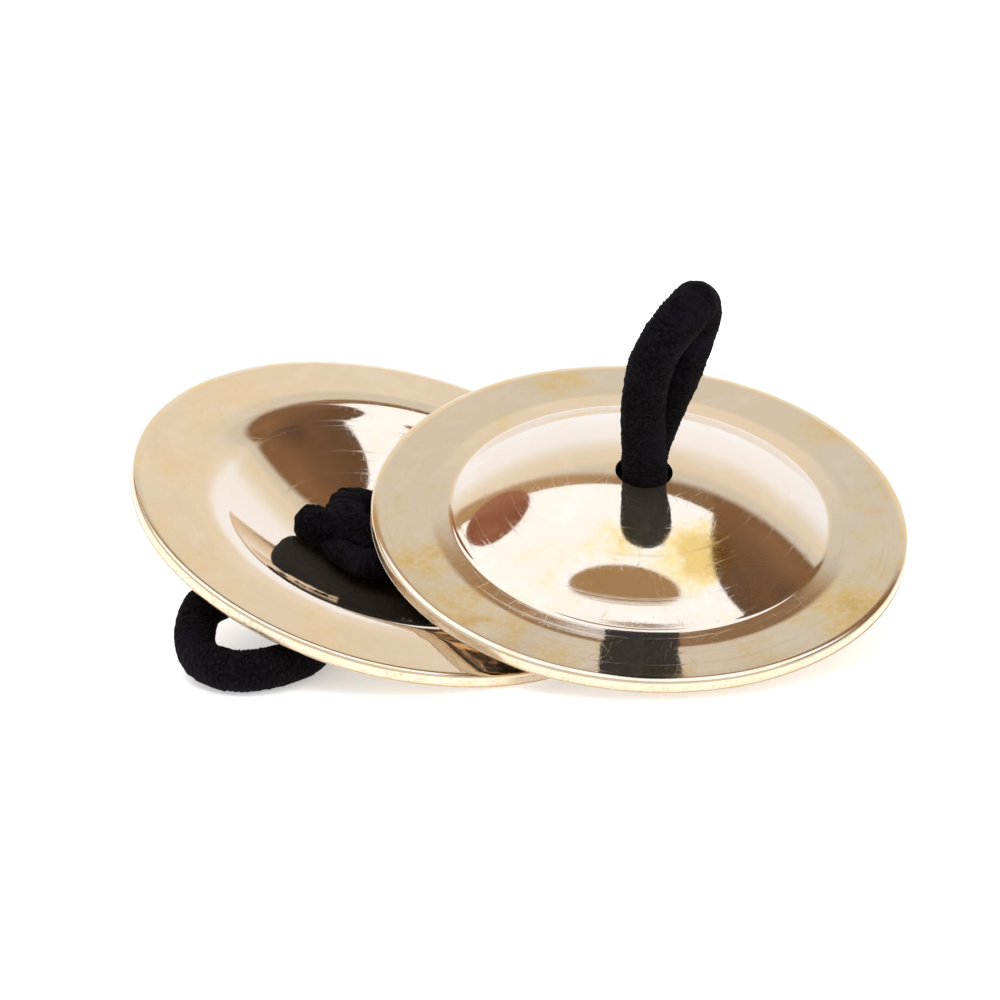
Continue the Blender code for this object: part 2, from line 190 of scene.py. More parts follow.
class Nodes:
    """A short way to write node maths: each call adds a node and gives back its output socket."""

    def __init__(self, tree):
        self.tree = tree

    def new(self, kind, **settings):
        node = self.tree.nodes.new(kind)
        for name, value in settings.items():
            setattr(node, name, value)
        return node

    def put(self, socket, value):
        if isinstance(value, bpy.types.NodeSocket):
            self.tree.links.new(value, socket)
        else:
            socket.default_value = value

    def math(self, operation, *values):
        node = self.new("ShaderNodeMath", operation=operation)
        for socket, value in zip(node.inputs, values):
            self.put(socket, value)
        return node.outputs[0]

    def add(self, a, b):
        return self.math("ADD", a, b)

    def sub(self, a, b):
        return self.math("SUBTRACT", a, b)

    def mul(self, a, b):
        return self.math("MULTIPLY", a, b)

    def smooth(self, value, low, high):
        """0 below low, 1 above high, or the other way round where low is the greater."""
        node = self.new("ShaderNodeMapRange", interpolation_type="SMOOTHSTEP")
        self.put(node.inputs["Value"], value)
        node.inputs["From Min"].default_value = min(low, high)
        node.inputs["From Max"].default_value = max(low, high)
        node.inputs["To Min"].default_value = 0.0 if low < high else 1.0
        node.inputs["To Max"].default_value = 1.0 if low < high else 0.0
        return node.outputs["Result"]

    def mix(self, share, a, b):
        node = self.new("ShaderNodeMix", data_type="RGBA")
        self.put(node.inputs["Factor"], share)
        for socket, value in ((node.inputs["A"], a), (node.inputs["B"], b)):
            self.put(socket, (*value, 1.0) if isinstance(value, tuple) and len(value) == 3 else value)
        return node.outputs["Result"]

    def noise(self, vector, scale, detail=2.0, roughness=0.5, distortion=0.0):
        node = self.new("ShaderNodeTexNoise")
        self.put(node.inputs["Vector"], vector)
        node.inputs["Scale"].default_value = scale
        node.inputs["Detail"].default_value = detail
        node.inputs["Roughness"].default_value = roughness
        node.inputs["Distortion"].default_value = distortion
        return node.outputs["Fac"]

    def stretched(self, vector, scale, turn=0.0):
        """The place turned about Z and then scaled, so that a noise runs out along its least scale."""
        turned = self.new("ShaderNodeMapping")
        self.put(turned.inputs["Vector"], vector)
        turned.inputs["Rotation"].default_value = (0.0, 0.0, turn)
        scaled = self.new("ShaderNodeMapping")
        self.put(scaled.inputs["Vector"], turned.outputs["Vector"])
        scaled.inputs["Scale"].default_value = scale
        return scaled.outputs["Vector"]

    def bump(self, height, strength, distance, before=None):
        node = self.new("ShaderNodeBump")
        node.inputs["Strength"].default_value = strength
        node.inputs["Distance"].default_value = distance
        self.put(node.inputs["Height"], height)
        if before is not None:
            self.put(node.inputs["Normal"], before)
        return node.outputs["Normal"]


def ellipse(n, u, v, centre, size, turn, edge):
    """1 inside an ellipse of the overhead plane (u, v), with a soft edge."""
    du, dv = n.sub(u, centre[0]), n.sub(v, centre[1])
    along = n.add(n.mul(du, math.cos(turn) / size[0]), n.mul(dv, math.sin(turn) / size[0]))
    across = n.add(n.mul(du, -math.sin(turn) / size[1]), n.mul(dv, math.cos(turn) / size[1]))
    far = n.math("SQRT", n.add(n.mul(along, along), n.mul(across, across)))
    return n.smooth(far, 1.0 + edge, 1.0 - edge)


# What the brass mirrors, in linear light
WALL_LOW = (0.77, 0.755, 0.70)      # the tent's back wall just above the panel's far edge
WALL_MIDDLE = (0.93, 0.87, 0.76)
WALL_HIGH = (1.09, 1.16, 1.30)      # and lower down, towards the floor
PANEL = (1.24, 1.36, 1.56)
BAND = (0.50, 0.33, 0.17)           # the brown gap between the panel and the tent
BAND_RIGHT = (0.27, 0.155, 0.072)
ROUND_GAP = (0.41, 0.255, 0.115)
RIGHT_GAP_DARK = (0.095, 0.042, 0.014)
RIGHT_GAP_LIGHT = (0.270, 0.135, 0.052)
LEFT_GAP_DARK = (0.245, 0.066, 0.024)
LEFT_GAP_LIGHT = (0.375, 0.150, 0.080)

# Outlines in that studio, on the level plane overhead: centre, half sizes, turn, softness of the edge
PANEL_OUTLINE = ((0.13, 0.33), (1.10, 0.90), 0.0, 0.012)
TENT_OPENING = ((0.13, 0.33), (1.30, 1.06), 0.0, 0.06)
RIGHT_GAP_OUTLINE = ((0.89, 0.12), (0.44, 0.43), 0.0, 0.02)
LEFT_GAP_OUTLINE = ((-0.62, 0.56), (0.21, 0.26), 0.0, 0.03)
ROUND_GAP_OUTLINE = ((0.02, -0.28), (0.31, 0.135), -0.14, 0.05)
LOWEST_HEIGHT = 0.02                # directions lower than this meet the plane as if they had it


def studio_reflections(n):
    """What the brass mirrors: a white panel overhead in a white tent, and the gaps between them.

    u and v are where a direction meets a level plane one unit overhead, to the right and back.
    """
    direction = n.new("ShaderNodeSeparateXYZ")
    coordinates = n.new("ShaderNodeTexCoord").outputs["Generated"]
    n.put(direction.inputs[0], coordinates)
    x, y, z = direction.outputs
    height = n.math("MAXIMUM", z, LOWEST_HEIGHT)
    u, v = n.math("DIVIDE", x, height), n.math("DIVIDE", y, height)
    mottled = n.noise(coordinates, 3.2, 2.0, 0.5)
    left_lean = n.mul(n.math("MAXIMUM", n.mul(u, -1.0), 0.0), 0.45)
    behind_panel = n.smooth(n.sub(v, n.sub(0.51, n.mul(u, 0.27))), 0.0, 0.015)
    beyond = n.smooth(n.sub(v, n.add(0.575, left_lean)), 0.0, 0.11)
    beyond = n.math("MAXIMUM", beyond, n.smooth(z, 0.30, 0.20))
    right_of_panel = n.mul(n.smooth(u, 0.43, 0.445), n.smooth(v, 0.14, 0.17))
    in_front = n.sub(1.0, ellipse(n, u, v, *PANEL_OUTLINE))
    far_front = n.sub(1.0, ellipse(n, u, v, *TENT_OPENING))
    right_gap = ellipse(n, u, v, *RIGHT_GAP_OUTLINE)
    left_gap = ellipse(n, u, v, *LEFT_GAP_OUTLINE)
    round_gap = ellipse(n, u, v, *ROUND_GAP_OUTLINE)
    lit = n.add(n.mul(n.smooth(v, 0.02, 0.52), 0.75), n.mul(n.smooth(mottled, 0.35, 0.65), 0.30))
    dark_right = n.mix(lit, RIGHT_GAP_DARK, RIGHT_GAP_LIGHT)
    dark_left = n.mix(n.smooth(mottled, 0.35, 0.65), LEFT_GAP_DARK, LEFT_GAP_LIGHT)
    gap = n.math("MAXIMUM", behind_panel, in_front)
    band = n.mix(n.smooth(u, -0.22, 0.20), BAND, BAND_RIGHT)
    colour = n.mix(gap, PANEL, band)
    colour = n.mix(n.math("MAXIMUM", right_gap, right_of_panel), colour, dark_right)
    colour = n.mix(left_gap, colour, dark_left)
    colour = n.mix(round_gap, colour, ROUND_GAP)
    wall = n.mix(n.smooth(v, 0.72, 0.90), WALL_LOW, WALL_MIDDLE)
    wall = n.mix(n.smooth(v, 0.92, 1.7), wall, WALL_HIGH)
    return n.mix(n.math("MAXIMUM", beyond, far_front), colour, wall)


def add_world():
    """White to the eye and to dull surfaces, and a studio with panels to polished ones."""
    world = bpy.data.worlds.new("studio")
    bpy.context.scene.world = world
    world.use_nodes = True
    world.node_tree.nodes.clear()
    n = Nodes(world.node_tree)
    paths = n.new("ShaderNodeLightPath")
    plain = n.new("ShaderNodeBackground")
    plain.inputs["Color"].default_value = (1.0, 1.0, 1.0, 1.0)
    mirrored = n.new("ShaderNodeBackground")
    n.put(mirrored.inputs["Color"], studio_reflections(n))
    mixed = n.new("ShaderNodeMixShader")
    n.put(mixed.inputs[0], paths.outputs["Is Glossy Ray"])
    n.put(mixed.inputs[1], plain.outputs[0])
    n.put(mixed.inputs[2], mirrored.outputs[0])
    output = n.new("ShaderNodeOutputWorld")
    n.put(output.inputs[0], mixed.outputs[0])


def add_floor():
    """A plain white sheet of card."""
    half = FLOOR_HALF
    corners = [(-half, -half, 0.0), (half, -half, 0.0), (half, half, 0.0), (-half, half, 0.0)]
    mesh = bpy.data.meshes.new("floor")
    mesh.from_pydata(corners, [], [(0, 1, 2, 3)])
    floor = bpy.data.objects.new("floor", mesh)
    bpy.context.scene.collection.objects.link(floor)
    mat = bpy.data.materials.new("floor_card")
    mat.use_nodes = True
    shader = mat.node_tree.nodes["Principled BSDF"]
    shader.inputs["Base Color"].default_value = (0.86, 0.86, 0.86, 1.0)
    shader.inputs["Roughness"].default_value = 0.95
    shader.inputs["Specular IOR Level"].default_value = 0.0
    shader.inputs["Emission Color"].default_value = (1.0, 1.0, 1.0, 1.0)
    shader.inputs["Emission Strength"].default_value = FLOOR_GLOW
    mesh.materials.append(mat)


def add_panel_light(name, place, size, power):
    """A soft box that lights the cord. The brass mirrors the world's panels instead of it."""
    light = bpy.data.lights.new(name, "AREA")
    light.shape = "RECTANGLE"
    light.size, light.size_y = size
    light.energy = power
    obj = bpy.data.objects.new(name, light)
    bpy.context.scene.collection.objects.link(obj)
    obj.location = place
    obj.rotation_euler = (TARGET - Vector(place)).to_track_quat("-Z", "Y").to_euler()
    obj.visible_glossy = False
    obj.visible_camera = False


# ---------------------------------------------------------------- materials

def new_material(name):
    mat = bpy.data.materials.new(name)
    mat.use_nodes = True
    n = Nodes(mat.node_tree)
    shader = mat.node_tree.nodes["Principled BSDF"]
    place = n.new("ShaderNodeTexCoord").outputs["Object"]
    return mat, n, shader, place


PALE_BRASS = (0.835, 0.690, 0.535)
YELLOW_BRASS = (0.86, 0.60, 0.20)
GREY_BRASS = (0.77, 0.68, 0.575)
DEEP_BRASS = (0.68, 0.43, 0.12)
WHITE_BRASS = (0.87, 0.755, 0.64)
EDGE_BRASS = (0.82, 0.67, 0.48)
EDGE_PALE = (0.85, 0.75, 0.60)
EDGE_SPECK = (0.52, 0.35, 0.18)
LIP_BRASS = (0.86, 0.73, 0.57)
LIP_GOLD = (0.87, 0.69, 0.44)
YARN_DARK = (0.0008, 0.0007, 0.0011)
YARN_LIT = (0.0120, 0.0090, 0.0115)
# Painted highlight: the bluish tone of light caught on the yarn's crests
YARN_PAINTED_HIGHLIGHT = (0.0078, 0.0068, 0.0110)
SHEEN_TINT = (0.62, 0.50, 0.50, 1.0)
# Painted shade for the gaps between the core's rubber strands
RUBBER_GAP_SHADE = (0.10, 0.075, 0.05)
RUBBER_DARK = (0.50, 0.43, 0.31)
RUBBER_PALE = (0.66, 0.60, 0.48)

# Where handling has yellowed a disc most, in its own frame in millimetres:
# x, y, z, how far the stain spreads, and how strong it is
RIGHT_TARNISH = (
    (6, -12, 4, 7, 2.2), (24, -15, 0, 9, 1.3), (-19, -20, 0, 10, 1.3), (-24, -10, 0, 7, 1.2),
    (-9, 25, 0, 6, 1.0), (22, 19, 0, 6, 1.0), (13, -24, 0, 6, 0.7), (-9, -26, 0, 6, 0.6),
    (-3, -11, 5, 5, 1.0),
)
LEFT_TARNISH = (
    (-26, 1, -2, 7, 0.8), (-21, 17, -2, 7, 0.8), (-27, 12, -2, 5, 0.7), (-6, 27, -2, 7, 0.8),
    (-19, -19, -2, 6, 0.6), (20, 18, -2, 9, 0.8),
)


def concentric_hairs(n, place, centre):
    """Broken hairlines round the disc's centre, from polishing it as it spun."""
    away = n.new("ShaderNodeVectorMath", operation="DISTANCE")
    n.put(away.inputs[0], place)
    away.inputs[1].default_value = centre
    ring = n.new("ShaderNodeCombineXYZ")
    n.put(ring.inputs[0], n.mul(away.outputs["Value"], 2600.0))
    slow = n.new("ShaderNodeVectorMath", operation="SCALE")
    n.put(slow.inputs[0], place)
    slow.inputs["Scale"].default_value = 55.0
    total = n.new("ShaderNodeVectorMath", operation="ADD")
    n.put(total.inputs[0], ring.outputs[0])
    n.put(total.inputs[1], slow.outputs[0])
    return n.smooth(n.noise(total.outputs[0], 1.0, 2.0, 0.6), 0.60, 0.68)


def polished_brass(name, axis, stains, yellowing, offset):
    """Pale brass, polished and then handled: yellow tarnish, deeper stains and hairline scratches."""
    mat, n, shader, place = new_material(name)
    stained = 0.0
    for x, y, z, spread, strength in stains:
        away = n.new("ShaderNodeVectorMath", operation="DISTANCE")
        n.put(away.inputs[0], place)
        away.inputs[1].default_value = axis.world((x * MM, y * MM, z * MM))
        near = n.mul(n.smooth(away.outputs["Value"], spread * MM, 0.0), strength)
        stained = n.math("MAXIMUM", near, stained)
    shift = n.new("ShaderNodeMapping")
    n.put(shift.inputs["Vector"], place)
    shift.inputs["Location"].default_value = offset
    place = shift.outputs["Vector"]
    large = n.noise(place, 85.0, 3.0, 0.55, 0.6)
    cloudy = n.noise(place, 300.0, 4.0, 0.65)
    speckle = n.noise(place, 1500.0, 3.0, 0.6)
    grain = n.noise(place, 5200.0, 1.0, 0.5)
    worn = n.add(n.mul(large, 0.55), n.mul(cloudy, 0.45))
    tarnish = n.smooth(n.add(worn, n.mul(stained, 0.20)), 0.50, 0.78)
    tarnish = n.mul(n.mul(tarnish, n.smooth(speckle, 0.15, 0.6)), yellowing)
    deep = n.smooth(n.add(stained, n.mul(n.sub(cloudy, 0.5), 2.4)), 0.9, 1.9)
    greyed = n.smooth(n.noise(place, 48.0, 2.0, 0.5, 0.3), 0.45, 0.68)
    clouds = n.smooth(n.noise(n.stretched(place, (1.0, 0.7, 1.0), 0.6), 135.0, 4.0, 0.6, 0.8), 0.48, 0.66)
    colour = n.mix(n.mul(greyed, 0.45), PALE_BRASS, GREY_BRASS)
    colour = n.mix(n.mul(clouds, 0.45), colour, WHITE_BRASS)
    colour = n.mix(tarnish, colour, YELLOW_BRASS)
    colour = n.mix(n.mul(deep, 0.8), colour, DEEP_BRASS)
    n.put(shader.inputs["Base Color"], colour)
    shader.inputs["Metallic"].default_value = 0.965
    streaks = n.noise(n.stretched(place, (1.0, 26.0, 26.0), 0.12), 150.0, 3.0, 0.65)
    scratches = concentric_hairs(n, place, axis.origin + Vector(offset))
    for turn, scale, share in ((0.9, 120.0, 0.66), (-0.5, 100.0, 0.67), (0.25, 130.0, 0.66)):
        hairs = n.noise(n.stretched(place, (34.0, 1.0, 7.0), turn), scale, 2.0, 0.6)
        scratches = n.math("MAXIMUM", n.smooth(hairs, share, share + 0.04), scratches)
    rough = n.add(0.032, n.mul(n.smooth(streaks, 0.45, 0.8), 0.06))
    rough = n.add(rough, n.mul(tarnish, 0.06))
    rough = n.add(rough, n.mul(n.smooth(grain, 0.50, 0.72), 0.05))
    rough = n.add(rough, n.mul(scratches, 0.10))
    n.put(shader.inputs["Roughness"], rough)
    normal = n.bump(n.noise(place, 60.0, 1.0, 0.4), 0.030, 0.0003)
    normal = n.bump(streaks, 0.007, 0.00006, normal)
    normal = n.bump(scratches, 0.020, 0.00002, normal)
    normal = n.bump(grain, 0.012, 0.00006, normal)
    n.put(shader.inputs["Normal"], normal)
    return mat


def cut_edge_brass(name):
    """The rim's cut edge: a little rougher, with darker specks where the shear tore it."""
    mat, n, shader, place = new_material(name)
    specks = n.noise(place, 2600.0, 2.0, 0.6)
    bands = n.noise(n.stretched(place, (1.0, 1.0, 9.0)), 420.0, 2.0, 0.6)
    colour = n.mix(n.smooth(bands, 0.35, 0.68), EDGE_BRASS, EDGE_PALE)
    colour = n.mix(n.mul(n.smooth(specks, 0.57, 0.68), 0.5), colour, EDGE_SPECK)
    n.put(shader.inputs["Base Color"], colour)
    shader.inputs["Metallic"].default_value = 1.0
    n.put(shader.inputs["Roughness"], n.add(0.20, n.mul(specks, 0.22)))
    normal = n.bump(specks, 0.30, 0.00006)
    n.put(shader.inputs["Normal"], n.bump(bands, 0.25, 0.00006, normal))
    return mat


def edge_lip_brass(name):
    """The bright lip beside the cut edge, with a faint golden cast."""
    mat, n, shader, place = new_material(name)
    cloudy = n.noise(place, 260.0, 3.0, 0.6)
    n.put(shader.inputs["Base Color"], n.mix(n.smooth(cloudy, 0.42, 0.66), LIP_BRASS, LIP_GOLD))
    shader.inputs["Metallic"].default_value = 1.0
    n.put(shader.inputs["Roughness"], n.add(0.06, n.mul(n.noise(place, 1800.0, 2.0), 0.08)))
    n.put(shader.inputs["Normal"], n.bump(n.noise(place, 700.0, 2.0), 0.05, 0.00006))
    return mat


def cord_textile(name):
    """Black wrapped yarn, dull, with a little brown fuzz that catches the light."""
    mat, n, shader, place = new_material(name)
    yarn = n.noise(place, 2600.0, 3.0, 0.65)
    highlight_patches = n.noise(place, 240.0, 2.0, 0.5)
    colour = n.mix(n.smooth(yarn, 0.42, 0.78), YARN_DARK, YARN_LIT)
    # Painted highlight: random patches are lightened towards a bluish tone
    colour = n.mix(n.mul(n.smooth(highlight_patches, 0.5, 0.7), 0.5), colour, YARN_PAINTED_HIGHLIGHT)
    n.put(shader.inputs["Base Color"], colour)
    n.put(shader.inputs["Roughness"], n.add(0.80, n.mul(yarn, 0.18)))
    shader.inputs["Specular IOR Level"].default_value = 0.08
    shader.inputs["Sheen Weight"].default_value = 0.022
    shader.inputs["Sheen Roughness"].default_value = 0.45
    shader.inputs["Sheen Tint"].default_value = SHEEN_TINT
    normal = n.bump(yarn, 0.55, 0.00012)
    n.put(shader.inputs["Normal"], n.bump(n.noise(place, 7000.0, 1.0), 0.4, 0.00005, normal))
    return mat


def core_rubber(name):
    """The cut ends of the core: bundled strands of pale rubber, with painted shade darkening the gaps
    between them.
    """
    mat, n, shader, place = new_material(name)
    strands = n.new("ShaderNodeTexVoronoi", feature="DISTANCE_TO_EDGE")
    n.put(strands.inputs["Vector"], place)
    strands.inputs["Scale"].default_value = 1500.0
    # Painted shade: this mask darkens the colour in the gaps between the strands, while its bump is real
    # relief
    gap = n.smooth(strands.outputs["Distance"], 0.02, 0.16)
    dust = n.noise(place, 1400.0, 3.0, 0.6)
    colour = n.mix(gap, RUBBER_GAP_SHADE, n.mix(dust, RUBBER_DARK, RUBBER_PALE))
    n.put(shader.inputs["Base Color"], colour)
    n.put(shader.inputs["Roughness"], n.add(0.55, n.mul(dust, 0.25)))
    n.put(shader.inputs["Normal"], n.bump(gap, 0.6, 0.00010))
    return mat


# ---------------------------------------------------------------- meshes

def link_mesh(name, verts, faces):
    mesh = bpy.data.meshes.new(name)
    mesh.from_pydata(verts, [], faces)
    mesh.validate()
    mesh.shade_smooth()
    obj = bpy.data.objects.new(name, mesh)
    bpy.context.scene.collection.objects.link(obj)
    return obj


def joint(name):
    return next(j for j in frame["joints"] if j["name"] == name)


class CymbalAxis:
    """A cymbal's own frame: x and y in the flange's plane, z out through the hole on the dome's side."""

    def __init__(self, side):
        twist = joint(side + "_neck_twist")
        self.mouth = Vector(twist["pos_m"])
        self.z = Vector(twist["axis"]).normalized()
        self.origin = self.mouth - self.z * DOME_HEIGHT
        # The frame is upright, or turned over about X, then leant over without turning about its axis
        up = self.z if self.z.z > 0.0 else -self.z
        lean = Vector((0.0, 0.0, 1.0)).rotation_difference(up)
        self.x = lean @ Vector((1.0, 0.0, 0.0))
        self.y = lean @ Vector((0.0, 1.0 if self.z.z > 0.0 else -1.0, 0.0))

    def world(self, point):
        return self.origin + self.x * point[0] + self.y * point[1] + self.z * point[2]


def arc(centre, radius, start, end, steps):
    """Points (r, z) round an arc, the angles measured from straight up."""
    angles = [start + (end - start) * i / steps for i in range(steps + 1)]
    return [centre + Vector((math.sin(angle), math.cos(angle))) * radius for angle in angles]


def rise_at(r):
    """Height of the soft rise: it bends up over RISE_RAMP, then runs straight to the crease."""
    inside = max(FLAT_RADIUS - r, 0.0)
    bent = min(inside, RISE_RAMP)
    return math.tan(RISE_SLOPE) * (bent * bent / (2.0 * RISE_RAMP) + inside - bent)


def face_outline(inner_radius, lower, crease_radius):
    """Points (r, z) on one face, lower below the dome's side, from the hole to the rim's lip."""
    base, hole, height = DOME_BASE_RADIUS, HOLE_RADIUS, DOME_HEIGHT
    depth = (base ** 2 - hole ** 2 - height ** 2) / (2.0 * height)
    sphere = math.hypot(base, depth) - lower
    middle = Vector((0.0, -depth))
    # The crease's centre slides along the rise's tangent until its arc touches the dome
    up = Vector((math.sin(RISE_SLOPE), math.cos(RISE_SLOPE)))
    inward = Vector((-math.cos(RISE_SLOPE), math.sin(RISE_SLOPE)))
    above = Vector((RISE_END_RADIUS, rise_at(RISE_END_RADIUS) - lower)) + up * crease_radius - middle
    along = above.dot(inward)
    slide = -along - math.sqrt(along ** 2 - above.length_squared + (sphere + crease_radius) ** 2)
    centre = above + middle + inward * slide
    steep = math.atan2(centre.x, centre.y + depth)
    outline = arc(middle, sphere, math.asin(inner_radius / sphere), steep, DOME_STEPS)
    outline += arc(centre, -crease_radius, steep, RISE_SLOPE, CREASE_STEPS)[1:]
    for i in range(RISE_STEPS + 1):
        r = RISE_END_RADIUS + (FLAT_RADIUS - RISE_END_RADIUS) * i / RISE_STEPS
        if r > outline[-1].x + LEAST_GAP:
            outline.append(Vector((r, rise_at(r) - lower)))
    last = RIM_RADIUS - LIP
    for i in range(1, FLAT_STEPS):
        outline.append(Vector((FLAT_RADIUS + (last - FLAT_RADIUS) * i / FLAT_STEPS, -lower)))
    return outline


def lip_point(i):
    """Radius, and drop from the face, of a point where the lip rolls over to the cut edge."""
    start = math.radians(LIP_START)
    angle = math.radians(LIP_START + LIP_TURN * i / LIP_STEPS)
    r = RIM_RADIUS - LIP + LIP * (math.sin(angle) - math.sin(start)) / LIP_SPAN
    return r, LIP * (math.cos(start) - math.cos(angle)) / LIP_SPAN


def disc_profile():
    """The closed section as (r, z, slot), out over the dome's side and back over the bowl's."""
    top = face_outline(HOLE_RADIUS, 0.0, CREASE_RADIUS)
    bottom = face_outline(HOLE_RADIUS + HOLE_FLARE, SHEET, BOWL_CREASE_RADIUS)
    profile = [(r, z, FACE_SLOT) for r, z in top]
    for i in range(LIP_STEPS + 1):
        r, drop = lip_point(i)
        profile.append((r, -drop, LIP_SLOT))
    profile.append((RIM_RADIUS - GROOVE, -LIP - GROOVE_DROP, EDGE_SLOT))
    for i in range(EDGE_STEPS + 1):
        share = i / EDGE_STEPS
        bulge = EDGE_BULGE * (1.0 - (2.0 * share - 1.0) ** 2)
        z = -LIP - GROOVE - (SHEET - 2.0 * LIP - 2.0 * GROOVE) * share
        profile.append((RIM_RADIUS - EDGE_BULGE + bulge, z, EDGE_SLOT))
    profile.append((RIM_RADIUS - GROOVE, LIP + GROOVE_DROP - SHEET, EDGE_SLOT))
    for i in range(LIP_STEPS, -1, -1):
        r, drop = lip_point(i)
        profile.append((r, drop - SHEET, LIP_SLOT))
    profile += [(r, z, FACE_SLOT) for r, z in reversed(bottom)]
    profile.append((HOLE_RADIUS, bottom[0].y + BOWL_HOLE_EASE, LIP_SLOT))
    profile.append((HOLE_RADIUS, top[0].y - HOLE_EASE, LIP_SLOT))
    return profile


def brass_disc(side, axis, materials):
    """The turned disc. Its edge wanders by a few hundredths, as a spun and hand-dressed one does."""
    profile = disc_profile()
    count = len(profile)
    verts, faces, slots = [], [], []
    for i in range(TURNS):
        angle = 2.0 * math.pi * i / TURNS
        c, s = math.cos(angle), math.sin(angle)
        wander = noise.noise(Vector((c * WANDER_RING, s * WANDER_RING, WANDER_HEIGHT[side]))) * RIM_WANDER
        for r, z, _ in profile:
            lift = wander * max(r / RIM_RADIUS - WANDER_START, 0.0)
            verts.append(axis.world((r * c, r * s, z + lift)))
    for i in range(TURNS):
        j = (i + 1) % TURNS
        for k in range(count):
            m = (k + 1) % count
            faces.append((i * count + k, i * count + m, j * count + m, j * count + k))
            slots.append(max(profile[k][2], profile[m][2]))
    disc = link_mesh(side + "_brass_disc", verts, faces)
    for mat in materials:
        disc.data.materials.append(mat)
    disc.data.polygons.foreach_set("material_index", slots)
    disc.data.set_sharp_from_angle(angle=SHARP_EDGE)
    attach(disc, side + "_cymbal_body")
    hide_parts(side + "_cymbal")


def smooth_route(route, spacing):
    """Evenly spaced points on a Catmull-Rom curve through a route in metres, and its length."""
    knots = [Vector(point) for point in route]
    knots = [2.0 * knots[0] - knots[1]] + knots + [2.0 * knots[-1] - knots[-2]]
    fine = []
    for i in range(1, len(knots) - 2):
        a, b, c, d = knots[i - 1:i + 3]
        for j in range(CURVE_STEPS):
            t = j / CURVE_STEPS
            fine.append(0.5 * (2.0 * b + (c - a) * t + (2.0 * a - 5.0 * b + 4.0 * c - d) * t ** 2
                               + (3.0 * b - a - 3.0 * c + d) * t ** 3))
    fine.append(knots[-2])
    fine = np.array(fine)
    along = np.concatenate([[0.0], np.cumsum(np.linalg.norm(np.diff(fine, axis=0), axis=1))])
    count = max(int(round(along[-1] / spacing)), 4)
    wanted = np.linspace(0.0, along[-1], count + 1)
    points = np.stack([np.interp(wanted, along, fine[:, k]) for k in range(3)], axis=1)
    return points, along[-1]


def swept_frames(points, first_across, last_across=None):
    """Tangent, across and over vectors that turn as little as they can along the points."""
    tangents = np.gradient(points, axis=0)
    tangents /= np.linalg.norm(tangents, axis=1)[:, None]
    across = np.zeros_like(points)
    current = np.array(first_across, float)
    for i, tangent in enumerate(tangents):
        current = current - tangent * (current @ tangent)
        current /= np.linalg.norm(current)
        across[i] = current
    over = np.cross(tangents, across)
    if last_across is not None:
        wanted = np.array(last_across, float)
        twist = math.atan2(wanted @ over[-1], wanted @ across[-1])
        turn = (twist * np.linspace(0.0, 1.0, len(points)))[:, None]
        across, over = (across * np.cos(turn) + over * np.sin(turn),
                        over * np.cos(turn) - across * np.sin(turn))
    return tangents, across, over


def ribbed_surface(points, across, over, widths, depths, seed):
    """Rings of points for a cord's wrapped cover: rounded ribs, uneven, with a little fuzz."""
    rng = np.random.default_rng(seed)
    along = np.concatenate([[0.0], np.cumsum(np.linalg.norm(np.diff(points, axis=0), axis=1))])
    theta = np.linspace(0.0, 2.0 * math.pi, SIDES, endpoint=False)
    marks = np.arange(0.0, along[-1] + WANDER_MARGIN, WANDER_PITCH)
    wander = np.interp(along, marks, rng.normal(0.0, RIB_WANDER, len(marks)))
    slant = rng.uniform(*RIB_SLANTS)
    phase = (along / RIB_PITCH + wander)[:, None] + slant * np.sin(theta + rng.uniform(0.0, 6.0))[None, :]
    ridge = np.sqrt(np.clip(1.0 - (2.0 * (phase % 1.0) - 1.0) ** 2, 0.0, 1.0))
    heights = rng.uniform(*RIB_HEIGHTS, int(phase.max()) + 4)
    ridge = ridge * heights[np.floor(phase).astype(int) + 1]
    marks = np.linspace(0.0, along[-1], LUMP_COUNT)
    lumps = np.interp(along, marks, rng.normal(0.0, LUMP_HEIGHT, LUMP_COUNT))
    bump = RIB_DEPTH * (ridge - 1.0) + lumps[:, None] + rng.normal(0.0, FUZZ, ridge.shape)
    a = widths[:, None] + bump
    b = depths[:, None] + bump
    return (points[:, None, :] + across[:, None, :] * (a * np.cos(theta))[:, :, None]
            + over[:, None, :] * (b * np.sin(theta))[:, :, None])


def tube_faces(rings, start):
    """Quads round a tube of rings whose first vertex is start, and a cap at each end."""
    faces = []
    for k in range(rings - 1):
        a, b = start + k * SIDES, start + (k + 1) * SIDES
        for i in range(SIDES):
            j = (i + 1) % SIDES
            faces.append((a + i, a + j, b + j, b + i))
    faces.append(tuple(start + i for i in reversed(range(SIDES))))
    faces.append(tuple(start + (rings - 1) * SIDES + i for i in range(SIDES)))
    return faces


def leg_sizes(distances, radius):
    """Half width and half depth of a leg by its distance outside the hole's mouth."""
    width_share = np.clip(distances / WIDTH_TAPER_LENGTH, 0.0, 1.0)
    depth_share = np.clip(distances / DEPTH_TAPER_LENGTH, 0.0, 1.0)
    depth_share = depth_share * depth_share * (3.0 - 2.0 * depth_share)
    return (LEG_HALF_WIDTH + (radius - LEG_HALF_WIDTH) * width_share,
            LEG_HALF_DEPTH + (radius - LEG_HALF_DEPTH) * depth_share)


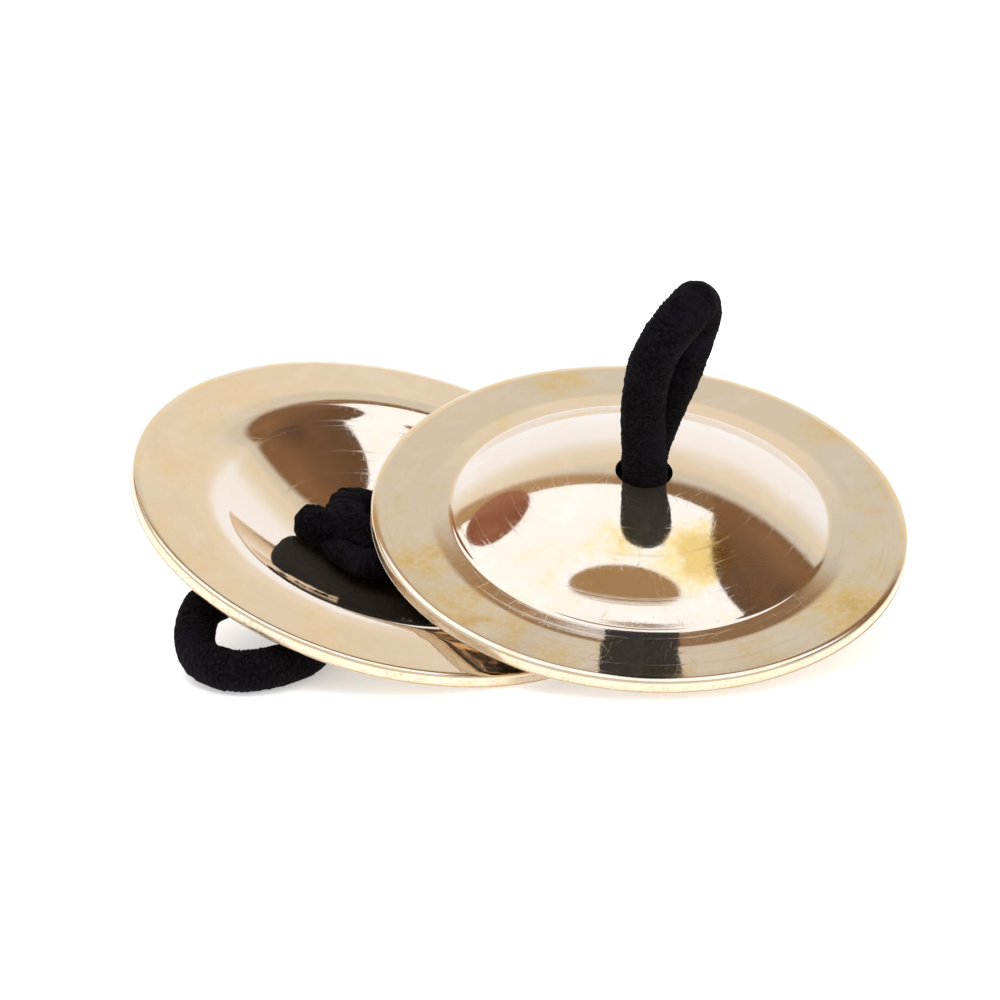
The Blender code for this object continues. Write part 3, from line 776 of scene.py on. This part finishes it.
def finger_loop(side, axis, route, radius, mat, seed):
    """Both legs and the loop as one cord, from inside the knot, out through the hole and back."""
    ends = [Vector(route[0]) * MM, Vector(route[-1]) * MM]
    apart = ends[1] - ends[0]
    apart = (apart - axis.z * apart.dot(axis.z)).normalized()
    first_leg, last_leg = ([axis.mouth - axis.z * depth * MM + apart * off * MM * way
                            for depth, off in LEG_PLACES] for way in (-1.0, 1.0))
    full = first_leg + [Vector(p) * MM for p in route] + last_leg[::-1]
    points, length = smooth_route(full, RIB_PITCH / RINGS_PER_RIB)
    sideways = axis.z.cross(apart)
    _, across, over = swept_frames(points, sideways, sideways * side_sign(points, sideways))
    along = np.linspace(0.0, length, len(points))
    inner = LEG_PLACES[0][0] * MM
    distances = np.minimum(along, length - along) - inner
    widths, depths = leg_sizes(distances, radius)
    rings = ribbed_surface(points, across, over, widths, depths, seed)
    # The cover flattens where it lies on the floor
    rings[:, :, 2] = np.maximum(rings[:, :, 2], FLOOR_GAP)
    loop = link_mesh(side + "_finger_loop", rings.reshape(-1, 3).tolist(), tube_faces(len(points), 0))
    loop.data.materials.append(mat)
    return loop, points, length


def side_sign(points, sideways):
    """1 or -1: which way round the across vector comes out when it is carried along the points."""
    _, across, _ = swept_frames(points, sideways)
    return 1.0 if float(across[-1] @ np.array(sideways)) > 0.0 else -1.0


def declare_loop(side):
    """Hides the plain solids of the loop and the neck, their covers and cores."""
    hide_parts(side + "_loop_cover", side + "_loop_core", side + "_neck_cover", side + "_neck_core")


def knot(side, axis, shape, height, middle, tail_routes, mat, seed):
    """An overhand knot pulled tight into a flattened ball, with its two cut tails.

    shape gives the trefoil's ring, its weave and the strand's radius in millimetres. The ball is squashed
    to height along the axis, with its middle above the flange's plane.
    """
    ring, weave, strand = (size * MM for size in shape)
    turns = np.linspace(0.0, 2.0 * math.pi, TREFOIL_POINTS)
    out = ring + weave * np.cos(3.0 * turns)
    trefoil = (out * np.cos(2.0 * turns), out * np.sin(2.0 * turns), weave * np.sin(3.0 * turns))
    guides = np.stack(trefoil, axis=1)[::KNOT_STEP]
    points, _ = smooth_route(guides, RIB_PITCH / RINGS_PER_RIB)
    _, across, over = swept_frames(points, (0.0, 0.0, 1.0))
    size = np.full(len(points), strand)
    rings = ribbed_surface(points, across, over, size, size, seed).reshape(-1, 3)
    squash = height / (2.0 * (weave + strand))
    rings[:, 2] = rings[:, 2] * squash + middle
    verts = [axis.world(ragged(Vector(p))) for p in rings]
    faces = tube_faces(len(points), 0)
    for k, route in enumerate(tail_routes):
        verts, faces = add_tail(axis, route, side == "left", verts, faces, seed + 10 + k)
    obj = link_mesh(side + "_knot", verts, faces)
    obj.data.materials.append(mat)
    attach(obj, side + "_cymbal_body")
    return obj


def ragged(point):
    """A point of a knot moved a little by noise, so that the wrapped yarn looks pulled and felted.

    Blender seeds noise_vector from the clock, so the knots' surfaces differ a little from run to run.
    """
    tufts = noise.noise_vector(point * TUFT_SCALE)
    felt = noise.noise_vector(point * FELT_SCALE)
    return point + tufts * TUFT_SIZE + felt * FELT_SIZE


def add_tail(axis, route, frayed, verts, faces, seed):
    """A tail: its cover is cut off round a recess for the core, or frayed and closed over it."""
    points, length = smooth_route([Vector(p) * MM for p in route], RIB_PITCH / RINGS_PER_RIB)
    tangents, across, over = swept_frames(points, (0.0, 0.0, 1.0))
    size = np.full(len(points), TAIL_RADIUS)
    if frayed:
        from_end = np.linspace(length, 0.0, len(points))
        closing = np.clip(1.0 - from_end / FRAY_LENGTH, 0.0, 1.0)
        size = TAIL_RADIUS * np.sqrt(np.clip(1.0 - closing ** 2, FRAY_LEAST, 1.0))
    rings = ribbed_surface(points, across, over, size, size, seed)
    if not frayed:
        theta = np.linspace(0.0, 2.0 * math.pi, SIDES, endpoint=False)[:, None]
        round_end = across[-1] * np.cos(theta) + over[-1] * np.sin(theta)
        end, outwards = points[-1], tangents[-1]
        cut_end = [end + round_end * TAIL_RADIUS * TAIL_RIM + outwards * TAIL_RIM_RISE,
                   end + round_end * TAIL_CORE_HOLE,
                   end + round_end * TAIL_CORE_HOLE - outwards * TAIL_CORE_DEPTH]
        rings = np.concatenate([rings, np.array(cut_end)])
    places = [Vector(p) for p in rings.reshape(-1, 3)]
    if frayed:
        places = [ragged(place) for place in places]
    start = len(verts)
    return verts + [axis.world(place) for place in places], faces + tube_faces(len(rings), start)


def main():
    scene = bpy.context.scene
    scene.view_settings.view_transform = "Standard"
    add_camera()
    add_world()
    add_floor()
    add_panel_light("key", *KEY_LIGHT)
    add_panel_light("fill", *FILL_LIGHT)

    edge = cut_edge_brass("cut_edge")
    lip = edge_lip_brass("edge_lip")
    textile = cord_textile("cord_textile")
    rubber = core_rubber("core_rubber")
    right, left = CymbalAxis("right"), CymbalAxis("left")

    loop, points, length = finger_loop("right", right, RIGHT_LOOP_ROUTE, RIGHT_CORD_RADIUS, textile, 3)
    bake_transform(loop)
    declare_loop("right")

    # The left loop starts folded under its disc
    loop, points, length = finger_loop("left", left, LEFT_LOOP_ROUTE, LEFT_CORD_RADIUS, textile, 4)
    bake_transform(loop)
    declare_loop("left")

    right_brass = polished_brass("right_brass", right, RIGHT_TARNISH, 0.80, (0.0, 0.0, 0.0))
    left_brass = polished_brass("left_brass", left, LEFT_TARNISH, 0.34, (0.13, 0.07, 0.0))
    brass_disc("right", right, [right_brass, lip, edge])
    brass_disc("left", left, [left_brass, lip, edge])
    right_knot = knot("right", right, RIGHT_KNOT, RIGHT_KNOT_HEIGHT, RIGHT_KNOT_MIDDLE,
                      RIGHT_TAIL_ROUTES, textile, 20)
    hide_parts("right_knot_cover")
    # The left tails are frayed over their cores, so the cores are hidden
    left_knot = knot("left", left, LEFT_KNOT, LEFT_KNOT_HEIGHT, LEFT_KNOT_MIDDLE,
                     LEFT_TAIL_ROUTES, textile, 40)
    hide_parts("left_knot_cover", "left_tail_core_1", "left_tail_core_2")
    for name, node in frame["nodes"].items():
        if name.startswith("right_tail_core"):
            node.data.materials.clear()
            node.data.materials.append(rubber)


main()
